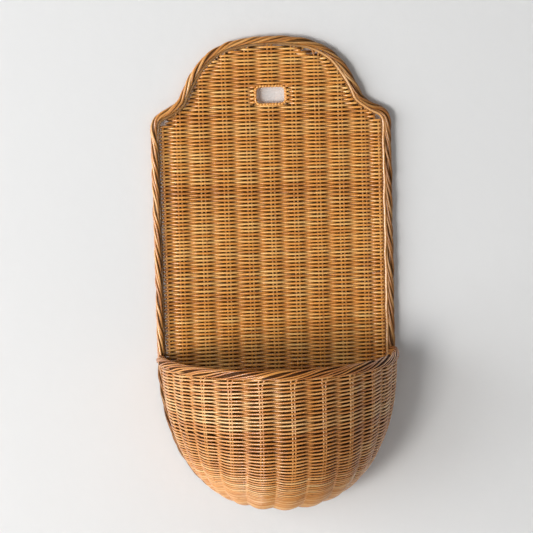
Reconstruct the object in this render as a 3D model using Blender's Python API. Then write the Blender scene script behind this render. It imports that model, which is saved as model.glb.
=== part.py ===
"""A wicker wall basket: a flat arched back with a hanging slot and a half-round pocket.

The back is a bent frame rod with a rolled border outside it and a woven panel inside it.
The pocket is a woven bowl with a rolled rim. Pairs of stakes run in channels through both
woven walls. The wall is the plane y = 0, the pocket stands out towards -Y, and the origin
is where the hook bears: the middle of the slot's upper edge.
"""

import math

import bmesh
import bpy
from mathutils import Vector
from mathutils.geometry import interpolate_bezier

# Driving dimensions, in metres
BACK_WIDTH = 0.334
BACK_HEIGHT = 0.660
POCKET_DEPTH = 0.193
RIM_TOP = 0.224

# Outline of the back: falls of the crown, the dip and the shoulder, and shares of the half width
CROWN_FALL = 0.083
DIP_FALL = 0.0145
SHOULDER_FALL = 0.0275
CROWN_FOOT_SHARE = 0.7605
SHOULDER_SHARE = 0.88
BOTTOM_RISE = 0.222
BOTTOM_FULLNESS = 2.3
SHOULDER_SLOPE = math.radians(19)
CROWN_HANDLE_SHARES = ((0.627, 0.0), (0.811, 0.317))
DIP_HANDLE_SHARES = (0.11, 0.315)
SHOULDER_HANDLE_SHARES = (0.65, 0.596)

# Rods, strands and the fit between pieces
BORDER_DIAMETER = 0.0086
FRAME_DIAMETER = 0.0036
STAKE_DIAMETER = 0.0026
EDGE_STAKE_DIAMETER = 0.0032
FIT = 0.0003
CHANNEL_FIT = 0.0003

# Woven back
BACK_CREST = 0.0082
BACK_VALLEY = 0.0046
CREST_FLAT = 0.0072
BACK_STAKE_SPACING_SHARE = 0.1928
BACK_PAIR_SPACING = 0.0052
BACK_PAIRS_EACH_SIDE = 4
EDGE_STAKE_INSET = 0.0042
BORDER_STAND_OFF = 0.0004
SHOULDER_HOLE_WIDTH = 0.009
SHOULDER_HOLE_HEIGHT = 0.011

# Hanging slot
SLOT_WIDTH = 0.038
SLOT_HEIGHT = 0.022
SLOT_CORNER = 0.005
SLOT_DROP = 0.071
BINDING_WIDTH = 0.0044
BINDING_DEPTH = 0.0094

# Woven pocket
POCKET_CREST = 0.0078
POCKET_VALLEY = 0.0044
POCKET_PAIR_SPACING = 0.0038
POCKET_BAYS = 12
POCKET_SIDE_INSET = 0.004
POCKET_BOTTOM_INSET = 0.006
BELLY_RISE = 0.128
SEAM_HALF = 0.062
SEAM_FADE = 0.05

# Rolled rim of the pocket
RIM_THICKNESS = 0.014
RIM_HEIGHT = 0.015
RIM_ROOF = 0.005

# Overrun of cutters past what they cut, and how far their rings keep off its end faces
OVERRUN = 0.004
CUT_CLEAR = 0.00004

# Counts of steps along curves and round sections
CROWN_STEPS = 11
DIP_STEPS = 4
SHOULDER_STEPS = 6
SIDE_STEPS = 4
BOTTOM_STEPS = 14
WAVE_STEPS = 3
BAY_STEPS = 4
BELLY_STEPS = 8
WALL_STEPS = 3
RIM_STEPS = 40
ROLL_SIDES = 8
CHANNEL_SIDES = 4
CORNER_STEPS = 4

# Places that follow from the sizes above; heights are over the lowest point of the back
CROWN_FOOT_HALF = CROWN_FOOT_SHARE * BACK_WIDTH / 2
SHOULDER_HALF = SHOULDER_SHARE * BACK_WIDTH / 2
BACK_STAKE_SPACING = BACK_STAKE_SPACING_SHARE * BACK_WIDTH / 2
HANG_HEIGHT = BACK_HEIGHT - SLOT_DROP
SLOT_MIDDLE = HANG_HEIGHT - SLOT_HEIGHT / 2
POCKET_WALL_TOP = RIM_TOP - RIM_ROOF - FIT

# Places across the thickness, as distances out from the wall
PANEL_MIDDLE = BACK_CREST / 2
BORDER_MIDDLE = BORDER_STAND_OFF + BORDER_DIAMETER / 2
SEAM_PLANE = BORDER_STAND_OFF + BORDER_DIAMETER + FIT

# Insets from the outer outline of the back
BORDER_INSET = BORDER_DIAMETER / 2
FRAME_INSET = BORDER_DIAMETER + FIT + FRAME_DIAMETER / 2
PANEL_INSET = BORDER_DIAMETER + FIT + FRAME_DIAMETER + FIT

# Middle surface of the pocket
BOWL_HALF = BACK_WIDTH / 2 - POCKET_SIDE_INSET
BOWL_DEPTH = POCKET_DEPTH - SEAM_PLANE - RIM_THICKNESS / 2
BOWL_FOOT = POCKET_BOTTOM_INSET

# Wood colours: red, green, blue and roughness
COLOURS = {
    "border": (0.56, 0.27, 0.09, 0.5),
    "frame": (0.5, 0.25, 0.1, 0.55),
    "weave": (0.6, 0.3, 0.1, 0.55),
    "stake": (0.52, 0.26, 0.1, 0.5),
    "binding": (0.6, 0.32, 0.13, 0.5),
}


def clear_scene():
    """Removes whatever the scene holds."""
    for item in list(bpy.data.objects):
        bpy.data.objects.remove(item, do_unlink=True)


def wood(kind):
    """A Principled material of one of the rattan colours."""
    name = "rattan_" + kind
    if name in bpy.data.materials:
        return bpy.data.materials[name]
    red, green, blue, roughness = COLOURS[kind]
    material = bpy.data.materials.new(name)
    material.use_nodes = True
    shader = material.node_tree.nodes["Principled BSDF"]
    shader.inputs["Base Color"].default_value = (red, green, blue, 1.0)
    shader.inputs["Roughness"].default_value = roughness
    shader.inputs["Metallic"].default_value = 0.0
    return material


def add_object(name, data, kind, root):
    """Links an object that hangs from the root."""
    item = bpy.data.objects.new(name, data)
    bpy.context.collection.objects.link(item)
    item.parent = root
    if kind:
        data.materials.append(wood(kind))
    return item


def mark_cutter(item):
    """Keeps a cutter out of the finished part."""
    item.hide_render = True
    item.display_type = "WIRE"
    return item


def cut(item, cutter, operation="DIFFERENCE"):
    """Adds an exact Boolean to an object."""
    step = item.modifiers.new(cutter.name, "BOOLEAN")
    step.object = cutter
    step.operation = operation
    step.solver = "EXACT"


def loft(name, rings, closed):
    """A skin through rings of points, with flat ends unless the rings close on themselves."""
    shape = bmesh.new()
    skin = [[shape.verts.new(point) for point in ring] for ring in rings]
    count = len(rings[0])
    last = len(rings) if closed else len(rings) - 1
    for index in range(last):
        lower = skin[index]
        upper = skin[(index + 1) % len(rings)]
        for side in range(count):
            after = (side + 1) % count
            shape.faces.new((lower[side], lower[after], upper[after], upper[side]))
    if not closed:
        shape.faces.new(list(reversed(skin[0])))
        shape.faces.new(skin[-1])
    bmesh.ops.recalc_face_normals(shape, faces=shape.faces)
    mesh = bpy.data.meshes.new(name)
    shape.to_mesh(mesh)
    shape.free()
    return mesh


def smooth(mesh):
    """Shades round pieces smooth and keeps their sharp ends."""
    mesh.shade_smooth()
    mesh.set_sharp_from_angle(angle=math.radians(50))
    return mesh


def rod(name, points, diameter, root, kind="stake"):
    """A bent rod: a curve with a round bevel and filled ends."""
    curve = bpy.data.curves.new(name, "CURVE")
    curve.dimensions = "3D"
    curve.bevel_depth = diameter / 2
    curve.bevel_resolution = 1
    curve.use_fill_caps = True
    line = curve.splines.new("POLY")
    line.points.add(len(points) - 1)
    for knot, point in zip(line.points, points):
        knot.co = (point.x, point.y, point.z, 1.0)
    return add_object(name, curve, kind, root)


def bottom_half_width(height, half, foot):
    """Half width of the rounded bottom at a height: a superellipse up to the straight sides."""
    if height >= BOTTOM_RISE:
        return half
    below = (BOTTOM_RISE - height) / (BOTTOM_RISE - foot)
    return half * max(1 - below ** BOTTOM_FULLNESS, 0.0) ** (1 / BOTTOM_FULLNESS)


def bezier(start, first, second, end, steps):
    """Points of one Bezier stretch, without its last point."""
    return [Vector(p) for p in interpolate_bezier(start, first, second, end, steps + 1)[:-1]]


def right_outline():
    """Outer edge of the back from the top middle down its right side to the bottom middle."""
    half = BACK_WIDTH / 2
    top = Vector((0, BACK_HEIGHT))
    foot = Vector((CROWN_FOOT_HALF, BACK_HEIGHT - CROWN_FALL))
    shoulder = Vector((SHOULDER_HALF, foot.y - DIP_FALL))
    side = Vector((half, shoulder.y - SHOULDER_FALL))
    first, second = [
        top + Vector((across * CROWN_FOOT_HALF, -down * CROWN_FALL))
        for across, down in CROWN_HANDLE_SHARES
    ]
    points = bezier(top, first, second, foot, CROWN_STEPS)
    along_crown = (foot - second).normalized()
    along_shoulder = Vector((math.cos(SHOULDER_SLOPE), -math.sin(SHOULDER_SLOPE)))
    dip = SHOULDER_HALF - CROWN_FOOT_HALF
    leave_foot, reach_shoulder = [share * dip for share in DIP_HANDLE_SHARES]
    points += bezier(
        foot,
        foot + along_crown * leave_foot,
        shoulder - along_shoulder * reach_shoulder,
        shoulder,
        DIP_STEPS,
    )
    leave_share, reach_share = SHOULDER_HANDLE_SHARES
    points += bezier(
        shoulder,
        shoulder + along_shoulder * leave_share * (half - SHOULDER_HALF),
        side + Vector((0, reach_share * SHOULDER_FALL)),
        side,
        SHOULDER_STEPS,
    )
    straight = side.y - BOTTOM_RISE
    points += [side - Vector((0, straight * step / SIDE_STEPS)) for step in range(SIDE_STEPS)]
    power = 2 / BOTTOM_FULLNESS
    for step in range(BOTTOM_STEPS):
        angle = math.pi / 2 * step / BOTTOM_STEPS
        across = half * math.cos(angle) ** power
        points.append(Vector((across, BOTTOM_RISE * (1 - math.sin(angle) ** power))))
    points.append(Vector((0, 0)))
    return points


def outline(inset):
    """Closed outline of the back, moved inwards by a distance, as points across and up."""
    right = right_outline()
    loop = right + [Vector((-p.x, p.y)) for p in reversed(right[1:-1])]
    moved = []
    for index, point in enumerate(loop):
        along = (loop[(index + 1) % len(loop)] - loop[index - 1]).normalized()
        moved.append(point + Vector((along.y, -along.x)) * inset)
    return moved


def crossings(loop, across):
    """Lowest and highest place where an outline crosses an upright line."""
    heights = []
    for index, start in enumerate(loop):
        end = loop[(index + 1) % len(loop)]
        if (start.x - across) * (end.x - across) <= 0 and start.x != end.x:
            part = (across - start.x) / (end.x - start.x)
            heights.append(start.y + part * (end.y - start.y))
    return min(heights), max(heights)


def ring_along(loop, out_from_wall, radius_across, radius_deep):
    """Rings of an oval section round a closed flat outline."""
    rings = []
    for index, point in enumerate(loop):
        along = (loop[(index + 1) % len(loop)] - loop[index - 1]).normalized()
        outward = Vector((-along.y, along.x))
        ring = []
        for side in range(ROLL_SIDES):
            turn = 2 * math.pi * (side + 0.5) / ROLL_SIDES
            place = point + outward * radius_across * math.cos(turn)
            ring.append(Vector((place.x, -out_from_wall - radius_deep * math.sin(turn), place.y)))
        rings.append(ring)
    return rings


def make_back_border(root):
    """The rolled border round the whole back."""
    radius = BORDER_DIAMETER / 2
    rings = ring_along(outline(BORDER_INSET), BORDER_MIDDLE, radius, radius)
    add_object("back_border", smooth(loft("back_border", rings, True)), "border", root)


def make_back_frame(root):
    """The bent rod that stiffens the back, just inside the border."""
    radius = FRAME_DIAMETER / 2
    rings = ring_along(outline(FRAME_INSET), PANEL_MIDDLE, radius, radius)
    add_object("back_frame", smooth(loft("back_frame", rings, True)), "frame", root)


def prism(name, loop, front, back, root):
    """A flat outline carried through the thickness from front to back."""
    rings = [[Vector((p.x, deep, p.y)) for p in loop] for deep in (front, back)]
    return add_object(name, loft(name, rings, False), None, root)


def rounded_slot(width, height, corner, middle):
    """Outline of the hanging slot, or of the hole for its binding."""
    points = []
    centres = ((1, 1), (-1, 1), (-1, -1), (1, -1))
    for quarter, (across, up) in enumerate(centres):
        for step in range(CORNER_STEPS + 1):
            turn = math.pi / 2 * (quarter + step / CORNER_STEPS)
            centre = Vector((across * (width / 2 - corner), middle + up * (height / 2 - corner)))
            points.append(centre + Vector((math.cos(turn), math.sin(turn))) * corner)
    return points


def back_wave():
    """Half section of the woven back: flat crests over the stakes and valleys between them."""
    flat = CREST_FLAT / 2
    slope = BACK_STAKE_SPACING - CREST_FLAT
    places = []
    reach = BACK_PAIRS_EACH_SIDE + 1
    for pair in range(-reach, reach + 1):
        middle = pair * BACK_STAKE_SPACING
        places.append((middle - flat, BACK_CREST / 2))
        places.append((middle + flat, BACK_CREST / 2))
        for step in range(1, 2 * WAVE_STEPS):
            share = step / (2 * WAVE_STEPS)
            dip = (BACK_CREST - BACK_VALLEY) / 2 * (1 - math.cos(2 * math.pi * share)) / 2
            places.append((middle + flat + slope * share, BACK_CREST / 2 - dip))
    return places


def stadium(pair_spacing, diameter):
    """Section of a channel that holds a pair of rods, as places across and out."""
    radius = diameter / 2 + CHANNEL_FIT
    half = pair_spacing / 2
    points = []
    for end in (1, -1):
        for step in range(CHANNEL_SIDES + 1):
            turn = math.pi * (step / CHANNEL_SIDES - end / 2)
            points.append((end * half + radius * math.cos(turn), radius * math.sin(turn)))
    return points


def stake_pairs():
    """Middle of each stake pair of the back."""
    reach = BACK_PAIRS_EACH_SIDE
    return [pair * BACK_STAKE_SPACING for pair in range(-reach, reach + 1)]


def upright(name, middle, pair_spacing, diameter, low, high, root):
    """An upright channel cutter through the woven back."""
    section = stadium(pair_spacing, diameter)
    rings = [
        [Vector((middle + across, out - PANEL_MIDDLE, height)) for across, out in section]
        for height in (low, high)
    ]
    return mark_cutter(add_object(name, loft(name, rings, False), None, root))


def edge_stake_place():
    """Distance from the middle to each edge stake."""
    return BACK_WIDTH / 2 - PANEL_INSET - EDGE_STAKE_INSET


def make_back_weave(root):
    """The woven back: a waved slab cut to the outline, with its channels, slot and holes."""
    wave = back_wave()
    front = [Vector((across, -PANEL_MIDDLE - half, 0)) for across, half in wave]
    rear = [Vector((across, -PANEL_MIDDLE + half, 0)) for across, half in reversed(wave)]
    low = Vector((0, 0, -OVERRUN))
    high = Vector((0, 0, BACK_HEIGHT + OVERRUN))
    rings = [[point + end for point in front + rear] for end in (low, high)]
    weave = add_object("back_weave", loft("back_weave", rings, False), "weave", root)
    loop = outline(PANEL_INSET)
    shape = prism("back_weave_outline", loop, -BACK_CREST - OVERRUN, OVERRUN, root)
    cut(weave, mark_cutter(shape), "INTERSECT")
    for number, middle in enumerate(stake_pairs(), 1):
        channel = upright(
            f"back_channel_{number}",
            middle,
            BACK_PAIR_SPACING,
            STAKE_DIAMETER,
            -OVERRUN,
            BACK_HEIGHT + OVERRUN,
            root,
        )
        cut(weave, channel)
    for side, word in ((-1, "left"), (1, "right")):
        middle = side * edge_stake_place()
        _, top = crossings(loop, middle)
        channel = upright(
            f"edge_channel_{word}", middle, 0, EDGE_STAKE_DIAMETER, 0, top + OVERRUN, root
        )
        cut(weave, channel)
        hole = shoulder_hole(side, loop, word, root)
        cut(weave, hole)
    hole_loop = rounded_slot(
        SLOT_WIDTH + 2 * BINDING_WIDTH + 2 * FIT,
        SLOT_HEIGHT + 2 * BINDING_WIDTH + 2 * FIT,
        SLOT_CORNER + BINDING_WIDTH + FIT,
        SLOT_MIDDLE,
    )
    slot = prism("slot_hole", hole_loop, -BACK_CREST - OVERRUN, OVERRUN, root)
    cut(weave, mark_cutter(slot))


def shoulder_hole(side, loop, word, root):
    """The small open corner of the weave under each shoulder."""
    outer = BACK_WIDTH / 2 - PANEL_INSET
    inner = outer - SHOULDER_HOLE_WIDTH
    _, top = crossings(loop, side * inner)
    low = top - SHOULDER_HOLE_HEIGHT
    corners = [
        Vector((side * (outer + OVERRUN), low)),
        Vector((side * (outer + OVERRUN), top + OVERRUN)),
        Vector((side * inner, top + OVERRUN)),
        Vector((side * inner, low + SHOULDER_HOLE_HEIGHT / 2)),
        Vector((side * (inner + SHOULDER_HOLE_WIDTH / 2), low)),
    ]
    name = f"shoulder_hole_{word}"
    return mark_cutter(prism(name, corners, -BACK_CREST - OVERRUN, OVERRUN, root))


def straight_rod(name, across, low, high, diameter, root):
    """An upright stake at the middle of the woven back."""
    ends = [Vector((across, -PANEL_MIDDLE, height)) for height in (low, high)]
    rod(name, ends, diameter, root)


def make_back_stakes(root):
    """Pairs of upright stakes in their channels, parted by the hanging slot in the middle."""
    loop = outline(PANEL_INSET)
    radius = STAKE_DIAMETER / 2
    slot_edge = SLOT_HEIGHT / 2 + BINDING_WIDTH + FIT
    for number, middle in enumerate(stake_pairs(), 1):
        for side, word in ((-1, "left"), (1, "right")):
            across = middle + side * BACK_PAIR_SPACING / 2
            spans = [crossings(loop, across + step) for step in (-radius, radius)]
            low = max(span[0] for span in spans)
            high = min(span[1] for span in spans)
            name = f"back_stake_{number}_{word}"
            if middle:
                straight_rod(name, across, low, high, STAKE_DIAMETER, root)
                continue
            below = SLOT_MIDDLE - slot_edge
            above = SLOT_MIDDLE + slot_edge
            straight_rod(name + "_lower", across, low, below, STAKE_DIAMETER, root)
            straight_rod(name + "_upper", across, above, high, STAKE_DIAMETER, root)
    radius = EDGE_STAKE_DIAMETER / 2
    inner = BACK_WIDTH / 2 - PANEL_INSET - SHOULDER_HOLE_WIDTH
    for side, word in ((-1, "left"), (1, "right")):
        across = side * edge_stake_place()
        low = crossings(loop, across + side * radius)[0]
        high = crossings(loop, side * inner)[1] - SHOULDER_HOLE_HEIGHT
        straight_rod(f"edge_stake_{word}", across, low, high, EDGE_STAKE_DIAMETER, root)


def make_slot_binding(root):
    """The bound edge of the hanging slot, an oval ring seated in the hole of the weave."""
    loop = rounded_slot(
        SLOT_WIDTH + BINDING_WIDTH,
        SLOT_HEIGHT + BINDING_WIDTH,
        SLOT_CORNER + BINDING_WIDTH / 2,
        SLOT_MIDDLE,
    )
    rings = ring_along(loop, BINDING_DEPTH / 2, BINDING_WIDTH / 2, BINDING_DEPTH / 2)
    add_object("slot_binding", smooth(loft("slot_binding", rings, True)), "binding", root)


def bowl_half_width(height):
    """Half width of the bowl's middle surface at a height."""
    return bottom_half_width(height, BOWL_HALF, BOWL_FOOT)


def bowl_depth(height):
    """Depth of the bowl's middle surface at a height: a quarter ellipse, then upright."""
    if height >= BELLY_RISE:
        return BOWL_DEPTH
    below = (BELLY_RISE - height) / (BELLY_RISE - BOWL_FOOT)
    return BOWL_DEPTH * math.sqrt(max(1 - below * below, 0.0))


def bowl_reach(across, out, height):
    """Less than one inside the bowl at that height, and more than one outside it."""
    half = bowl_half_width(height)
    depth = bowl_depth(height)
    if not half or not depth:
        return math.inf
    return (across / half) ** 2 + (out / depth) ** 2


def bowl_height(across, out):
    """Height of the bowl's middle surface over a place on the plan, by halving."""
    low = BOWL_FOOT
    high = BOTTOM_RISE
    for _ in range(48):
        middle = (low + high) / 2
        if bowl_reach(across, out, middle) > 1:
            low = middle
        else:
            high = middle
    return high


def bowl_place(turn, rise):
    """Across, out and up on the bowl: turn goes from side to side, rise from seam to rim."""
    belly_share = BELLY_STEPS / (BELLY_STEPS + WALL_STEPS)
    angle = math.pi / 2 * turn
    if rise > belly_share:
        up = (rise - belly_share) / (1 - belly_share)
        height = BELLY_RISE + (POCKET_WALL_TOP - BELLY_RISE) * up
        half = bowl_half_width(height)
        return half * math.sin(angle), BOWL_DEPTH * math.cos(angle), height
    lean = math.pi / 2 * rise / belly_share
    height = BOWL_FOOT + (BELLY_RISE - BOWL_FOOT) * (1 - math.cos(lean))
    front = BOWL_DEPTH * math.sin(lean)
    seam = SEAM_HALF * math.cos(lean)
    half = (bowl_half_width(height) ** 4 + seam ** 4) ** 0.25
    fan = math.exp(-((front / SEAM_FADE) ** 2))
    across = half * ((1 - fan) * math.sin(angle) + fan * turn)
    out = front * ((1 - fan) * math.cos(angle) + fan * (1 - turn * turn))
    return across, out, bowl_height(across, out)


def bowl_point(turn, rise):
    """A point of the bowl's middle surface."""
    across, out, height = bowl_place(turn, rise)
    return Vector((across, -SEAM_PLANE - out, height))


def bowl_normal(turn, rise):
    """Outward direction of the bowl, from the slope of its reach."""
    across, out, height = bowl_place(turn, rise)
    step = FIT / 100
    low = max(height, BOWL_FOOT + 2 * step)
    slopes = []
    for move in ((step, 0, 0), (0, step, 0), (0, 0, step)):
        after = bowl_reach(across + move[0], out + move[1], low + move[2])
        before = bowl_reach(across - move[0], out - move[1], low - move[2])
        slopes.append(after - before)
    if not out:
        slopes[1] = 0.0
    outward = Vector((slopes[0], -slopes[1], slopes[2]))
    if not outward.length:
        return Vector((0, 0, -1))
    return outward.normalized()


def rises():
    """Steps from the seam to the rim."""
    count = BELLY_STEPS + WALL_STEPS
    return [step / count for step in range(count + 1)]


def pocket_half_thickness(turn):
    """Half thickness of the woven pocket: thick over the stakes, thin between them."""
    middle = (POCKET_CREST + POCKET_VALLEY) / 4
    swing = (POCKET_CREST - POCKET_VALLEY) / 4
    return middle + swing * math.cos(math.pi * turn * POCKET_BAYS)


def stake_frame(turn, rise):
    """Point, sideways direction and outward direction for a stake of the pocket."""
    point = bowl_point(turn, rise)
    step = 1 / (1000 * (BELLY_STEPS + WALL_STEPS))
    along = bowl_point(turn, min(rise + step, 1.0)) - bowl_point(turn, max(rise - step, 0.0))
    outward = bowl_normal(turn, rise)
    return point, along.cross(outward).normalized(), outward


def pocket_turns():
    """Turn of each stake pair of the pocket."""
    half = POCKET_BAYS // 2
    return [step / half for step in range(1 - half, half)]


def make_pocket_weave(root):
    """The woven bowl: two skins a wall apart, swelling over the stakes, with their channels."""
    count = POCKET_BAYS * BAY_STEPS
    turns = [2 * step / count - 1 for step in range(count + 1)]
    rings = []
    for rise in rises():
        outer = []
        inner = []
        for turn in turns:
            point = bowl_point(turn, rise)
            away = bowl_normal(turn, rise) * pocket_half_thickness(turn)
            outer.append(point + away)
            inner.append(point - away)
        rings.append(outer + list(reversed(inner)))
    mesh = loft("pocket_weave", rings, False)
    weave = add_object("pocket_weave", mesh, "weave", root)
    for number, turn in enumerate(pocket_turns(), 1):
        cut(weave, pocket_channel(f"pocket_channel_{number}", turn, root))


def pocket_channel(name, turn, root):
    """A bent channel cutter for one stake pair, running past the seam and the rim."""
    section = stadium(POCKET_PAIR_SPACING, STAKE_DIAMETER)
    rings = []
    for rise in rises():
        point, sideways, outward = stake_frame(turn, rise)
        rings.append([point + sideways * across + outward * out for across, out in section])
    rings[0] = [point + Vector((0, CUT_CLEAR, 0)) for point in rings[0]]
    rings[-1] = [point + Vector((0, 0, CUT_CLEAR)) for point in rings[-1]]
    first = [point + Vector((0, OVERRUN, 0)) for point in rings[0]]
    last = [point + Vector((0, 0, OVERRUN)) for point in rings[-1]]
    return mark_cutter(add_object(name, loft(name, [first] + rings + [last], False), None, root))


def make_pocket_stakes(root):
    """Pairs of bent stakes from the seam under the pocket up into its rim."""
    for number, turn in enumerate(pocket_turns(), 1):
        for side, word in ((-1, "left"), (1, "right")):
            points = []
            for rise in rises():
                point, sideways, _ = stake_frame(turn, rise)
                points.append(point - sideways * side * POCKET_PAIR_SPACING / 2)
            rod(f"pocket_stake_{number}_{word}", points, STAKE_DIAMETER, root)


def rim_section():
    """Section of the rim: an oval roll with a groove below for the top of the woven wall."""
    groove = POCKET_CREST / 2 + FIT
    floor = RIM_TOP - RIM_ROOF
    middle = RIM_TOP - RIM_HEIGHT / 2
    points = []
    for step in range(2 * CORNER_STEPS + 1):
        turn = math.pi * step / (2 * CORNER_STEPS)
        points.append((RIM_THICKNESS / 2 * math.cos(turn), middle + RIM_HEIGHT / 2 * math.sin(turn)))
    lip = RIM_TOP - RIM_HEIGHT
    lip_out = (groove + RIM_THICKNESS / 2) / 2
    points += [(-lip_out, lip), (-groove, lip), (-groove, floor)]
    points += [(groove, floor), (groove, lip), (lip_out, lip)]
    return points


def make_pocket_rim(root):
    """The rolled rim, seated over the top of the pocket's wall and the stake ends."""
    rings = []
    for step in range(RIM_STEPS + 1):
        turn = 2 * step / RIM_STEPS - 1
        point = bowl_point(turn, 1.0)
        outward = bowl_normal(turn, 1.0)
        ring = []
        for away, height in rim_section():
            place = point + outward * away
            ring.append(Vector((place.x, place.y, height)))
        rings.append(ring)
    add_object("pocket_rim", smooth(loft("pocket_rim", rings, False)), "border", root)


def main():
    """Builds the basket, hung so that the origin is where the hook bears."""
    clear_scene()
    root = bpy.data.objects.new("wall_basket", None)
    bpy.context.collection.objects.link(root)
    root.location = (0, 0, -HANG_HEIGHT)
    make_back_border(root)
    make_back_frame(root)
    make_back_weave(root)
    make_back_stakes(root)
    make_slot_binding(root)
    make_pocket_weave(root)
    make_pocket_stakes(root)
    make_pocket_rim(root)


main()
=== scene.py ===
"""Looks of a woven rattan wall basket: every strand of its weave, border and rim as a rod of its own.

The back hangs against the wall plane y = 0, and the pocket stands out towards -Y.
The origin is the middle of the hanging slot's upper edge. All lengths are in metres.
"""

import math

import bpy
import numpy as np
from mathutils import Matrix


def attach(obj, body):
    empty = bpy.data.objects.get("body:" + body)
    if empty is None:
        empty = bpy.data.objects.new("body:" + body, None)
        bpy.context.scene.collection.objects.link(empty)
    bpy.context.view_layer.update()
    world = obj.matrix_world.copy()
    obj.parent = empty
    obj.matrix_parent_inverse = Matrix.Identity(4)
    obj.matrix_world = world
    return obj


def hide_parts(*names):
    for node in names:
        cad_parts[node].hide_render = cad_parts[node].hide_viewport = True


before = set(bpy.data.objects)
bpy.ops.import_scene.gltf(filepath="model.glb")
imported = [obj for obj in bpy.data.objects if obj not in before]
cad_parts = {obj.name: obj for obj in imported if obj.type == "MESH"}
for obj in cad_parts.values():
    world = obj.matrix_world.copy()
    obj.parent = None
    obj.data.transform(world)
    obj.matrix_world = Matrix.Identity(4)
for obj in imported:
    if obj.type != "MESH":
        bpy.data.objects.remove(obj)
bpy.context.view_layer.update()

# Sizes shared with the solids
BACK_WIDTH = 0.334
BACK_HEIGHT = 0.660
SLOT_DROP = 0.071
LOWEST = SLOT_DROP - BACK_HEIGHT
CROWN_FALL = 0.083
DIP_FALL = 0.0145
SHOULDER_FALL = 0.0275
CROWN_FOOT_SHARE = 0.7605
SHOULDER_SHARE = 0.88
SHOULDER_SLOPE = math.radians(19)
BOTTOM_RISE = 0.222
BOTTOM_FULLNESS = 2.3
BORDER_INSET = 0.0043
BORDER_OUT = 0.0047
FRAME_INSET = 0.0107
PANEL_INSET = 0.0128
PANEL_OUT = 0.0041
SLOT_WIDTH = 0.038
SLOT_HEIGHT = 0.022
SLOT_CORNER = 0.005
BINDING_WIDTH = 0.0044
STAKE_RADIUS = 0.0013
BACK_STAKE_SPACING = 0.0322
BACK_PAIRS_EACH_SIDE = 4
BACK_PAIR_SPACING = 0.0052
EDGE_STAKE_INSET = 0.0042
POCKET_BAYS = 12
POCKET_PAIR_SPACING = 0.0038
SEAM_OUT = 0.0093
BOWL_HALF = 0.163
BOWL_DEPTH = 0.1767
BOWL_FOOT = 0.006
BELLY_RISE = 0.128
SEAM_HALF = 0.062
SEAM_FADE = 0.05
SEAM_TUCK = 0.0042
SEAM_TUCK_FADE = 0.014
RIM_TOP = 0.224
RIM_HEIGHT = 0.015
RIM_THICKNESS = 0.014
POCKET_WALL_TOP = 0.2187
BELLY_SHARE = 8 / 11

# Handles of the outline's Bezier curves, as shares of the curve's width and height
CROWN_HANDLES = ((0.627, 0), (0.811, 0.317))
DIP_HANDLES = (0.11, 0.315)
SHOULDER_HANDLES = (0.65, 0.596)

# Corners round a section: thin strands, stakes and rim strands, and thick rods
THIN_SIDES = 8
ROD_SIDES = 10
THICK_SIDES = 12

FRONT = np.array([0, -1.0, 0])


# Shapes of the basket


def wander(place, reach, waves, seed):
    """Slow drift along a strand: the mean of sines of the given wave lengths, times reach."""
    phases = np.random.default_rng(seed).uniform(0, 2 * np.pi, len(waves))
    total = sum(np.sin(2 * np.pi * place / wave + phase) for wave, phase in zip(waves, phases))
    return reach * total / len(waves)


def unit(vectors):
    """The same directions with length one."""
    return vectors / np.linalg.norm(vectors, axis=-1, keepdims=True)


def ramp(value, start, length):
    """Straight ramp from 0 at start to 1 a length further on, level before and after it. A
    negative length runs towards smaller values."""
    return np.clip((value - start) / length, 0, 1)


def bell(distance, reach):
    """Share that fades with distance: exp(-(distance / reach)^2)."""
    return np.exp(-((distance / reach) ** 2))


def headings(points):
    """Direction of a closed line at each point: from the point before to the point after."""
    return unit(np.roll(points, -1, axis=0) - np.roll(points, 1, axis=0))


def bezier(start, first, second, end, steps):
    """Cubic curve: the four points weighted by (1-t)^3, 3t(1-t)^2, 3t^2(1-t) and t^3."""
    t = (np.arange(steps) / steps)[:, None]
    start, first, second, end = (np.array(p, float) for p in (start, first, second, end))
    bent = 3 * t * (1 - t) ** 2 * first + 3 * t**2 * (1 - t) * second
    return (1 - t) ** 3 * start + bent + t**3 * end


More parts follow.
